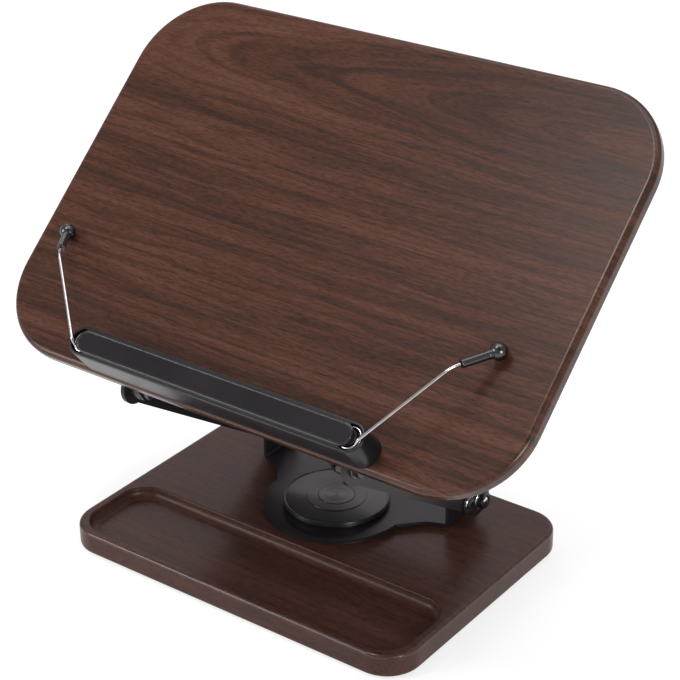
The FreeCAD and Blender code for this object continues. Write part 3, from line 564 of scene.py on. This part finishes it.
# ---------------------------------------------------------------- Turned cover
# A disc turned from bar and blacked, with a fine lip round its edge, a shallow cone and a flat
# middle; a plain cap closes its centre. The tool leaves fine rings that draw out the light.
def turned_black(name, colour, roughness):
    """Blacked metal with tool marks round the swivel's axis."""
    material, tree, shader, place = new_finish(name, Specular_IOR_Level=0.6, Anisotropic=0.8,
                                               Anisotropic_Rotation=0.25)
    from_centre = add_node(tree, "ShaderNodeMapping", {"Vector": place, "Location": (0, swivel_y, 0)},
                           vector_type="TEXTURE").outputs[0]
    flat = add_node(tree, "ShaderNodeVectorMath", {0: from_centre, 1: (1, 1, 0)},
                    operation="MULTIPLY").outputs[0]
    radius = add_node(tree, "ShaderNodeVectorMath", {0: flat}, operation="LENGTH").outputs["Value"]
    cuts = add_node(tree, "ShaderNodeTexNoise", {"W": radius, "Scale": 3200.0, "Detail": 2.0},
                    noise_dimensions="1D").outputs["Fac"]
    tone = colour_ramp(tree, cuts, (0.3, tuple(c * 0.8 for c in colour)),
                       (0.7, tuple(c * 1.3 for c in colour)))
    tree.links.new(tone, shader.inputs["Base Color"])
    uneven_gloss(tree, shader, cuts, 0.3, 0.7, roughness * 0.85, roughness * 1.2)
    dented(tree, shader, cuts, strength=0.3, depth=0.00003)
    around = add_node(tree, "ShaderNodeTangent", direction_type="RADIAL", axis="Z")
    tree.links.new(around.outputs[0], shader.inputs["Tangent"])
    return material


def turned_on_swivel(name, profile, sides, finish):
    """A piece turned about the swivel's axis."""
    shell = turned(profile, sides)
    bmesh.ops.translate(shell, verts=shell.verts, vec=(0, swivel_y, 0))
    piece = mesh_piece(name, shell)
    piece.data.materials.append(finish)
    return piece


cover_bottom, cover_top = 0.0189, 0.023
cover_bore_r, cover_foot_r, cover_r, seat_r, seat_t = 0.0088, 0.0294, 0.0308, 0.0106, 0.001
cover_profile = [
    (cover_bore_r, cover_bottom), (cover_foot_r, cover_bottom), (cover_foot_r, cover_bottom + 0.0009),
    (cover_r - 0.0003, cover_bottom + 0.0009), (cover_r, cover_bottom + 0.0013),
    (cover_r, cover_top - 0.0009), (cover_r - 0.0002, cover_top - 0.0005), (0.03025, cover_top - 0.0003),
    (0.0299, cover_top - 0.0004), (0.0294, cover_top - 0.0008), (0.0288, cover_top - 0.00075),
    (0.0183, cover_top - 0.0003), (0.0179, cover_top - 0.00035), (0.0175, cover_top - 0.00025),
    (0.0173, cover_top - 0.00003), (0.0171, cover_top), (seat_r + 0.0002, cover_top),
    (seat_r, cover_top - 0.0002), (seat_r, cover_top - seat_t), (cover_bore_r, cover_top - seat_t),
    (cover_bore_r, cover_bottom),
]
blacked = turned_black("blacked_cover", (0.0045, 0.0045, 0.0050), roughness=0.30)
cover = turned_on_swivel("turned_cover", cover_profile, 128, blacked)
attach(cover, "turntable")
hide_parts("swivel_cover")

cap_bottom, cap_top, cap_r = 0.0220, 0.0232, 0.0105
cap_profile = [(0, cap_bottom), (cap_r - 0.0001, cap_bottom), (cap_r, cap_bottom + 0.0001),
               (cap_r, cap_top - 0.00018), (cap_r - 0.00015, cap_top - 0.00002), (cap_r - 0.0004, cap_top),
               (0.0068, cap_top), (0.0066, cap_top - 0.0001), (0.0064, cap_top), (0, cap_top)]
blacked_cap = turned_black("blacked_cap", (0.013, 0.013, 0.014), roughness=0.28)
cap = turned_on_swivel("cover_cap", cap_profile, 96, blacked_cap)
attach(cap, "turntable")
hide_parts("swivel_cover_cap")


# ---------------------------------------------------------------- Folding arm
# A channel pressed from 2.5 mm steel: two sides with round ends, joined by a web that starts
# clear of both pivots so that the ears can turn inside it. A thin spring plate on each lower end
# holds the fold. All are powder-coated like the turning plate.
arm = eased_copy("support_arm", "folding_arm", 0.0005, satin_black, edge_painted_highlight)
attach(arm, "arm")
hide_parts("support_arm")

friction_plates = eased_copy("friction_plates", "spring_plates", 0.0003, satin_black, edge_painted_highlight)
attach(friction_plates, "arm")
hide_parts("friction_plates")


# ---------------------------------------------------------------- Hinge hardware
# At each end of the arm and on each side: a plated bolt through the ear, a steel bush that spaces
# the arm from the ear, a plated washer, and a blacked nut outside. The lock screw has a hex
# socket and a thin bright ring round its head.
def hex_radius(corner_r):
    """Distance to the side of a hexagon at an angle."""
    return lambda angle: corner_r * cos(pi / 6) / cos((angle % (pi / 3)) - pi / 6)


def cross_radius(half_length, half_width):
    """Distance to the side of a cross recess at an angle."""
    def at(angle):
        """How far the nearest arm of the cross reaches."""
        folded = abs((angle + pi / 4) % (pi / 2) - pi / 4)
        return min(half_length / cos(folded), half_width / max(sin(folded), 1e-6))
    return at


def ring_stack(levels, sides):
    """A closed bmesh through shaped rings, given as (radius function, height)."""
    shell = bmesh.new()
    rings = [shaped_ring(shell, sides, height, radius_at) for radius_at, height in levels]
    bridge(shell, rings)
    shell.faces.new(reversed(rings[0]))
    shell.faces.new(rings[-1])
    return shell


def nut_shell(corner_r, bore_r, height):
    """A chamfered hexagon with a round bore, standing on Z = 0."""
    chamfer = corner_r - corner_r * cos(pi / 6)
    flat_hex = hex_radius(corner_r)

    def chamfered(limit):
        """The hexagon with its corners cut back to a radius."""
        return lambda angle: min(flat_hex(angle), limit)

    under = [(chamfered(corner_r - chamfer), 0), (chamfered(corner_r - chamfer / 2), chamfer * 0.3),
             (flat_hex, chamfer * 0.6)]
    over = [(radius_at, height - z) for radius_at, z in reversed(under)]
    levels = [(round_at(bore_r), 0), *under, *over, (round_at(bore_r), height)]
    shell = bmesh.new()
    rings = [shaped_ring(shell, 48, z, radius_at) for radius_at, z in levels]
    bridge(shell, rings + rings[:1])
    return shell


def eased_ring(bore_r, outer_r, thickness, ease):
    """The outline of a flat ring or a bush with its outer edges taken off."""
    return [(bore_r, 0), (outer_r - ease, 0), (outer_r, ease), (outer_r, thickness - ease),
            (outer_r - ease, thickness), (bore_r, thickness), (bore_r, 0)]


def both_sides(x, pivot):
    """The two places of a hinge part: right and left, each facing outwards."""
    return [((x, pivot.y, pivot.z), (1, 0, 0)), ((-x, pivot.y, pivot.z), (-1, 0, 0))]


bright_zinc = zinc("bright_zinc", (0.74, 0.74, 0.75), roughness=0.2, brush=600)
# A far darker, rougher zinc than the lower end's, used for the washers and bolts of the upper end under the
# board.
upper_darker_zinc = zinc("upper_darker_zinc", (0.16, 0.16, 0.17), roughness=0.42, brush=600)
black_oxide = speckled("black_oxide", (0.011, 0.011, 0.012), roughness=0.28, grain=900, depth=0.00002,
                       Specular_IOR_Level=0.6)
lower_pivot = Vector((0, swivel_y + 0.0333, 0.0309))
upper_pivot = Vector((0, -0.065744, 0.108089))
arm_side_x, ear_outer_x, ear_t, plate_t = 0.076, 0.0667, 0.002, 0.001
hinge_bore_r, washer_r, washer_t, bush_r, bush_t = 0.0031, 0.006, 0.0008, 0.0065, 0.0068
bolt_r, bolt_head_r, bolt_head_t, nut_r, nut_t = 0.003, 0.005, 0.003, 0.0052, 0.0032
bolt_start_x = ear_outer_x - ear_t - bolt_head_t
domed_end = [(bolt_r, 0.0014), (0.00275, 0.0009), (0.0022, 0.0004), (0.0013, 0.0001), (0.0004, 0.0)]

# Each end has its pivot, what lies on the arm's side under its washer, and its plating.
hinge_ends = {"lower": (lower_pivot, plate_t, bright_zinc), "upper": (upper_pivot, 0.0, upper_darker_zinc)}
for end, (pivot, packing, plating) in hinge_ends.items():
    washer_x = arm_side_x + packing
    nut_x = washer_x + washer_t
    washer_profile = eased_ring(hinge_bore_r, washer_r, washer_t, 0.0002)
    washers = set_out_parts(end + "_plain_washers", turned(washer_profile),
                            both_sides(washer_x, pivot), plating)
    nuts = set_out_parts(end + "_blacked_nuts", nut_shell(nut_r, bolt_r, nut_t),
                         both_sides(nut_x, pivot), black_oxide)
    bush_profile = eased_ring(hinge_bore_r, bush_r, bush_t, 0.0004)
    bushes = set_out_parts(end + "_steel_bushes", turned(bush_profile),
                           both_sides(ear_outer_x, pivot), black_oxide)
    bolt_end = nut_x + nut_t - bolt_start_x
    bolt_levels = [(cross_radius(0.0026, 0.0005), 0.0012), (cross_radius(0.003, 0.0007), 0.0),
                   (round_at(0.0042), 0.0), (round_at(0.0048), 0.0003), (round_at(bolt_head_r), 0.0009),
                   (round_at(bolt_head_r), bolt_head_t), (round_at(bolt_r), bolt_head_t)]
    bolt_levels += [(round_at(radius), bolt_end - drop) for radius, drop in domed_end]
    bolts = set_out_parts(end + "_hinge_bolts_turned", ring_stack(bolt_levels, 64),
                          both_sides(bolt_start_x, pivot), plating)
    for piece, node, slot in ((washers, "_hinge_washers", "bright_steel"),
                              (nuts, "_hinge_nuts", "black_steel"),
                              (bushes, "_hinge_bushes", "black_steel"),
                              (bolts, "_hinge_bolts", "bright_steel")):
        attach(piece, "arm")
        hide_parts(end + node)

lock_low, lock_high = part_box("lock_screws")
lock_axis = (lock_low + lock_high) / 2
plate_outer_x = arm_side_x + plate_t
lock_screw_r, lock_shank, lock_head_r, lock_head_t = 0.0015, 0.004, 0.0034, 0.0016
lock_top = lock_shank + lock_head_t
lock_levels = [(round_at(lock_screw_r), 0.0), (round_at(lock_screw_r), lock_shank),
               (round_at(lock_head_r), lock_shank), (round_at(lock_head_r), lock_top - 0.0008),
               (round_at(0.0031), lock_top - 0.0003), (round_at(0.0025), lock_top),
               (hex_radius(0.0015), lock_top), (hex_radius(0.0014), lock_top - 0.001)]
lock_screws = set_out_parts("socket_lock_screws", ring_stack(lock_levels, 48),
                            both_sides(plate_outer_x - lock_shank, lock_axis), black_oxide)
lock_ring_r, lock_ring_bore_r, lock_ring_t = 0.0043, 0.00345, 0.0005
lock_ring_profile = [(lock_ring_bore_r, 0), (lock_ring_r, 0), (lock_ring_r, lock_ring_t - 0.0002),
                     (lock_ring_r - 0.0002, lock_ring_t), (lock_ring_bore_r, lock_ring_t),
                     (lock_ring_bore_r, 0)]
lock_rings = set_out_parts("lock_screw_rings", turned(lock_ring_profile),
                           both_sides(plate_outer_x, lock_axis), bright_zinc)
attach(lock_rings, "arm")
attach(lock_screws, "arm")
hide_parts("lock_screws")


# ---------------------------------------------------------------- Reading board
# A panel wrapped in the same walnut foil, with large round corners. Its front edge is rounded
# further over than its back edge, and runs out into the face in a flatter crown.
board_origin, board_lean = Vector((0, -0.084465, 0.120325)), radians(41.8)
board_place = Matrix.Translation(board_origin) @ Matrix.Rotation(board_lean, 4, "X")
board_half_x, board_height, board_corner, board_t = 0.170, 0.2345, 0.0477, 0.009
front_round, back_round, crown_r, crown_turn = 0.003, 0.002, 0.009, radians(7)
nose_r = (front_round - crown_r * (1 - cos(crown_turn))) / cos(crown_turn)
nose_steps, crown_steps = 8, 4


def board_ring(inset, height):
    """A level of the panel's outside."""
    return rounded_ring(board_half_x - inset, board_height / 2 - inset, board_corner - inset, height,
                        0, board_height / 2, 20)


board_rings = [board_ring(i, z) for i, z in quarter_round(back_round, 6, -board_t, opening=True)]
for step in range(nose_steps + 1):
    angle = pi / 2 - (pi / 2 - crown_turn) * step / nose_steps
    board_rings.append(board_ring(nose_r * (1 - sin(angle)), -front_round + nose_r * cos(angle)))
for step in range(1, crown_steps + 1):
    angle = crown_turn * (1 - step / crown_steps)
    nose_width = nose_r * (1 - sin(crown_turn))
    board_rings.append(board_ring(nose_width + crown_r * (sin(crown_turn) - sin(angle)),
                                  -crown_r * (1 - cos(angle))))
board = ring_skin("walnut_board", board_rings, board_place)
board_face = board_place.to_3x3() @ Vector((0, 0, 1))


def off_face(face, limit):
    """Whether a face turns away from the board's own, by the cosine between them."""
    return abs(face.normal.dot(board_face)) < limit


wrapped_in_foil(board, lambda face: off_face(face, 0.9995), "walnut_foil_board", shine=0.16,
                pressed_shine=0.3, evened=0.0, origin=board_origin, lean=board_lean, heart_up=0.205,
                heart_depth=0.016, heart_slope=-0.09, wander=0.008)
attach(board, "board")
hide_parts("board_panel")


# ---------------------------------------------------------------- Board bracket
# A folded plate with two ears behind the board, powder-coated like the turning plate and held
# by four pan-head screws.
back_bracket = eased_copy("board_bracket", "folded_bracket", 0.0004, satin_black, edge_painted_highlight)
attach(back_bracket, "board")
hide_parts("board_bracket")

out_of_back = board_place.to_3x3() @ Vector((0, 0, -1))
bracket_t, screw_r, screw_head_r, pan_t = 0.002, 0.00175, 0.0034, 0.0018
pan_screw_x, pan_screw_rows = 0.050, (0.032, 0.052)
pan_levels = [(round_at(screw_r), -0.0065), (round_at(screw_r), 0.0), (round_at(screw_head_r), 0.0),
              (round_at(screw_head_r), 0.0007), (round_at(0.0032), 0.00125), (round_at(0.0026), 0.00165),
              (round_at(0.0022), pan_t), (cross_radius(0.0019, 0.00045), pan_t),
              (cross_radius(0.0015, 0.0003), pan_t - 0.001)]
pan_places = [(board_place @ Vector((x, y, -board_t - bracket_t)), out_of_back)
              for x in (-pan_screw_x, pan_screw_x) for y in pan_screw_rows]
pan_screws = set_out_parts("pan_head_screws", ring_stack(pan_levels, 64), pan_places, black_oxide)
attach(pan_screws, "board")
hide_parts("bracket_screws")


# ---------------------------------------------------------------- Page ledge
# A moulded bar with sloping sides and round ends, held by three countersunk screws from behind
# the board. A pocket in each end of its top takes the coil of a page clip.
ledge_up, ledge_height, ledge_screw_x = 0.0103, 0.019, 0.060
sunk_levels = [(round_at(screw_r), -0.006), (round_at(screw_r), -0.00165), (round_at(screw_head_r), 0.0),
               (cross_radius(0.0021, 0.00045), 0.0), (cross_radius(0.0014, 0.0003), -0.0012)]
sunk_places = [(board_place @ Vector((x, ledge_up, -board_t)), out_of_back)
               for x in (-ledge_screw_x, 0.0, ledge_screw_x)]
sunk_screws = set_out_parts("countersunk_screws", ring_stack(sunk_levels, 64), sunk_places, black_oxide)
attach(sunk_screws, "board")
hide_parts("ledge_screws")

moulded_bar = speckled("moulded_bar", (0.0090, 0.0090, 0.0105), roughness=0.30, grain=1100, depth=0.00002,
                       Specular_IOR_Level=0.45)
# Its eased edges take the same glossier, lighter edge finish: a painted highlight.
ledge = eased_copy("page_ledge", "page_ledge_bar", 0.00035, moulded_bar, edge_painted_highlight)
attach(ledge, "board")
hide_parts("page_ledge")


# ---------------------------------------------------------------- Ledge pad
# A strip of dense rubber on top of the ledge, with a raised bead all round. Its rounds and its
# sides are smoother than its flat faces, and painted lighter as a highlight along the bead.
pad_half_x, pad_half_y, pad_t, pad_round, bead_w = 0.091, 0.0064, 0.0022, 0.0005, 0.0013
pad_levels = [(0.0, 0.0), (0.0, pad_t - pad_round), (0.00006, pad_t - 0.00025),
              (0.00025, pad_t - 0.00006), (pad_round, pad_t), (bead_w - 0.0004, pad_t),
              (bead_w - 0.0002, pad_t - 0.00006), (bead_w - 0.00005, pad_t - 0.0002),
              (bead_w, pad_t - 0.00035), (bead_w + 0.0001, pad_t - 0.0004)]
pad_corner = pad_half_y - 0.0001
pad_rings = [rounded_ring(pad_half_x - inset, pad_half_y - inset, pad_corner - inset,
                          ledge_height + height, 0, ledge_up, 12) for inset, height in pad_levels]
pad = ring_skin("ledge_rubber", pad_rings, board_place)
pad_rubber = speckled("pad_rubber", (0.0092, 0.0066, 0.0094), roughness=0.42, grain=1300, depth=0.00004,
                      Specular_IOR_Level=0.2)
# The rounds and sides: glossier, and painted lighter than the rubber, a painted highlight along the bead.
pad_bead_painted_highlight = speckled("pad_bead_painted_highlight", (0.0130, 0.0120, 0.0140), roughness=0.22, grain=1300, depth=0.00001,
                    Specular_IOR_Level=0.6)
pad.data.materials.append(pad_rubber)
pad.data.materials.append(pad_bead_painted_highlight)
for face in pad.data.polygons:
    face.material_index = int(off_face(face, 0.999))
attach(pad, "board")
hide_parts("ledge_pad")


# ---------------------------------------------------------------- Page clips
# Each clip is one length of chromed spring wire: a coil that turns in the ledge's pocket, an arm
# out over the page, and a knee down to it. A moulded sleeve and ball are pressed on its tip.
def wire_tree():
    """A round wire through a chain of points, smoothed as the wire bends."""
    tree, given = new_tree("wire_through_points", Points="Geometry", Wire_Radius="Float", Finish="Material")
    chain = add_node(tree, "GeometryNodeMeshToCurve", {"Mesh": given["Points"]})
    bent = add_node(tree, "GeometryNodeCurveSplineType", {"Curve": chain.outputs[0]}, spline_type="BEZIER")
    eased = add_node(tree, "GeometryNodeCurveSetHandles", {"Curve": bent.outputs[0]}, handle_type="AUTO")
    fine = add_node(tree, "GeometryNodeSetSplineResolution", {0: eased.outputs[0], "Resolution": 6})
    section = add_node(tree, "GeometryNodeCurvePrimitiveCircle", {"Resolution": 14})
    tree.links.new(given["Wire Radius"], section.inputs["Radius"])
    tube = add_node(tree, "GeometryNodeCurveToMesh", {"Curve": fine.outputs[0],
                    "Profile Curve": section.outputs["Curve"], "Fill Caps": True})
    smooth = add_node(tree, "GeometryNodeSetShadeSmooth", {0: tube.outputs[0]})
    finish_tree(tree, smooth.outputs[0], given["Finish"])
    return tree


wire_r, coil_r, coil_level, run_level = 0.0008, 0.0056, 0.0179, 0.0202
coil_pitch, coil_growth, coil_turn, coil_steps = 0.0013, 0.0004, radians(520), 34
clip_pivot_x, clip_run, clip_drop = 0.0885, 0.0608, 0.0225
knee_start, knee_r, knee_steps = clip_run - 0.0049, 0.016, 4
ball_level, ball_r, ball_steps = 0.00505, 0.00475, 20
tip_bore_r, sleeve_r, sleeve_lip_r, sleeve_length = 0.00085, 0.0024, 0.0026, 0.017
wire_into_ball, sleeve_into_ball = 0.003, 0.0007
clip_headings = {"clip_right": (1, radians(30.6)), "clip_left": (-1, radians(41.0))}
chrome = zinc("chromed_spring_wire", (0.66, 0.64, 0.63), roughness=0.08, brush=300)
black_plastic = speckled("moulded_black", (0.0045, 0.0045, 0.0052), roughness=0.20, grain=800,
                         depth=0.00001, Specular_IOR_Level=1.0)
wire = wire_tree()

# The coil's lower turn is a little wider than the one that the arm leaves from.
wire_points = []
for step in range(coil_steps):
    turn_left = coil_turn * (1 - step / coil_steps)
    turns_left = turn_left / (2 * pi)
    turn_r = coil_r + coil_growth * turns_left
    wire_points.append((turn_r * cos(-turn_left), turn_r * sin(-turn_left),
                        coil_level - coil_pitch * turns_left))

knee_turn = atan2(run_level - ball_level, clip_drop)
side_view = [(0.0, coil_level), (0.0016, 0.0191), (0.0033, 0.02012), (0.0055, run_level), (0.028, run_level),
             (clip_run - 0.010, run_level), (knee_start, run_level)]
for step in range(1, knee_steps + 1):
    angle = knee_turn * step / knee_steps
    side_view.append((knee_start + knee_r * sin(angle), run_level - knee_r * (1 - cos(angle))))
wire_points += [(coil_r, along, height) for along, height in side_view]
ball_centre = Vector((coil_r, clip_run + clip_drop, ball_level))
knee = Vector((coil_r, clip_run, run_level))
tip_heading = (ball_centre - knee).normalized()
wire_points += [tuple(knee + tip_heading * 0.010),
                tuple(ball_centre - tip_heading * (ball_r - wire_into_ball))]

sleeve_profile = [(tip_bore_r, 0.0004), (0.0014, 0.0004), (0.0015, 0.0), (0.0020, 0.0), (0.0023, 0.0001),
                  (sleeve_r, 0.0004), (sleeve_r + 0.0001, sleeve_length - 0.0016),
                  (sleeve_lip_r, sleeve_length - 0.0014), (sleeve_lip_r, sleeve_length - 0.001),
                  (sleeve_lip_r, sleeve_length + sleeve_into_ball),
                  (tip_bore_r, sleeve_length + sleeve_into_ball), (tip_bore_r, 0.0004)]
ball_profile = [(tip_bore_r, -sqrt(ball_r ** 2 - tip_bore_r ** 2))]
ball_profile += [(ball_r * sin(pi * k / ball_steps), -ball_r * cos(pi * k / ball_steps))
                 for k in range(2, ball_steps)]
ball_profile += [(0, ball_r)]
for body, (side, heading) in clip_headings.items():
    clip_place = (board_place @ Matrix.Diagonal((side, 1, 1, 1))
                  @ Matrix.Translation((clip_pivot_x, ledge_up, 0)) @ Matrix.Rotation(-heading, 4, "Z"))
    chain_points = [clip_place @ Vector(point) for point in wire_points]
    chain_mesh = bpy.data.meshes.new(body + "_chain")
    chain_mesh.from_pydata(chain_points, [(k, k + 1) for k in range(len(chain_points) - 1)], [])
    carrier = new_object(body + "_chain", chain_mesh)
    spring = baked(carrier, wire, {"Wire Radius": wire_r, "Finish": chrome}, body + "_spring_wire")
    axis = clip_place.to_3x3() @ tip_heading
    sleeve_foot = clip_place @ (ball_centre - tip_heading * (ball_r + sleeve_length))
    sleeve = set_out_parts(body + "_moulded_sleeve", turned(sleeve_profile, 40),
                           [(sleeve_foot, axis)], black_plastic, most_turn=0.0)
    ball = set_out_parts(body + "_moulded_ball", turned(ball_profile, 40),
                         [(clip_place @ ball_centre, axis)], black_plastic, most_turn=0.0)
    for piece, node, slot in ((spring, "_wire", "chrome_wire"), (sleeve, "_sleeve", "black_plastic"),
                              (ball, "_ball", "black_plastic")):
        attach(piece, body)
        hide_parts(body + node)
